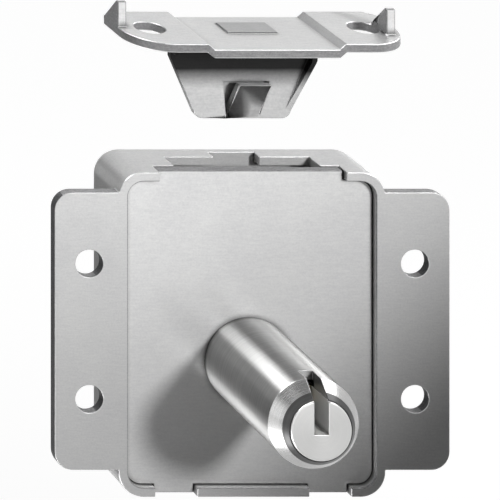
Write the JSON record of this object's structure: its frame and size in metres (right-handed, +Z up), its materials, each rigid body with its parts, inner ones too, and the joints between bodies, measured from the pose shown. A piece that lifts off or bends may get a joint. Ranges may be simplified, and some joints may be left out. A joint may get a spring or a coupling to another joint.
{
  "type": "chest lock",
  "caption": "Surface-screwed chest lock: a flat steel case with wings, a turned key cylinder and a sliding bolt, with the separate hanging strike it catches.",
  "frame": {"origin": "on the cylinder's axis, in the plane of the wings' front faces", "axes": "-Y along the cylinder, towards the person with the key; +Z up towards the strike; +X to the right seen from the front"},
  "size_m": [0.0852, 0.0392, 0.107],
  "materials": {
    "case_steel": "satin zinc plate",
    "plate_steel": "satin zinc plate",
    "turned_steel": "turned and nickel plated",
    "plug_metal": "nickel plated",
    "inner_steel": "plain steel",
    "tumbler_brass": "stamped",
    "spring_steel": "spring wire",
    "strike_steel": "satin zinc plate"
  },
  "bodies": {
    "lock_body": {"case": "case_steel", "cover_plate": "plate_steel", "cylinder_housing": "turned_steel", "bolt_guides": "inner_steel"},
    "plug": {"plug": "plug_metal", "driver": "inner_steel", "driver_screw": "inner_steel", "disc_spring_1": "spring_steel", "disc_spring_2": "spring_steel", "disc_spring_3": "spring_steel", "disc_spring_4": "spring_steel", "disc_spring_5": "spring_steel"},
    "bolt": {"bolt": "inner_steel"},
    "strike": {"strike_plate": "strike_steel", "strike_tongue": "strike_steel"},
    "disc_1": {"disc_tumbler_1": "tumbler_brass"},
    "disc_2": {"disc_tumbler_2": "tumbler_brass"},
    "disc_3": {"disc_tumbler_3": "tumbler_brass"},
    "disc_4": {"disc_tumbler_4": "tumbler_brass"},
    "disc_5": {"disc_tumbler_5": "tumbler_brass"}
  },
  "joints": [
    {"name": "plug_turn", "type": "hinge", "parent": "lock_body", "child": "plug", "pos_m": [0, 0, 0], "axis": [0, 1, 0], "range_deg": [0, 90]},
    {"name": "bolt_slide", "type": "slide", "parent": "lock_body", "child": "bolt", "axis": [1, 0, 0], "range_m": [0, 0.00651]},
    {"name": "strike_lift", "type": "slide", "parent": "lock_body", "child": "strike", "axis": [0, 0, 1], "range_m": [-0.02805, 0]},
    {"name": "disc_slide_1", "type": "slide", "parent": "plug", "child": "disc_1", "axis": [0, 0, 1], "range_m": [0, 0.0009], "deforming": ["disc_spring_1"]},
    {"name": "disc_slide_2", "type": "slide", "parent": "plug", "child": "disc_2", "axis": [0, 0, 1], "range_m": [0, 0.0009], "deforming": ["disc_spring_2"]},
    {"name": "disc_slide_3", "type": "slide", "parent": "plug", "child": "disc_3", "axis": [0, 0, 1], "range_m": [0, 0.0009], "deforming": ["disc_spring_3"]},
    {"name": "disc_slide_4", "type": "slide", "parent": "plug", "child": "disc_4", "axis": [0, 0, 1], "range_m": [0, 0.0009], "deforming": ["disc_spring_4"]},
    {"name": "disc_slide_5", "type": "slide", "parent": "plug", "child": "disc_5", "axis": [0, 0, 1], "range_m": [0, 0.0009], "deforming": ["disc_spring_5"]}
  ],
  "couplings": [
    {"joint": "bolt_slide", "follows": "plug_turn", "m_per_rad": 0.0041415}
  ]
}
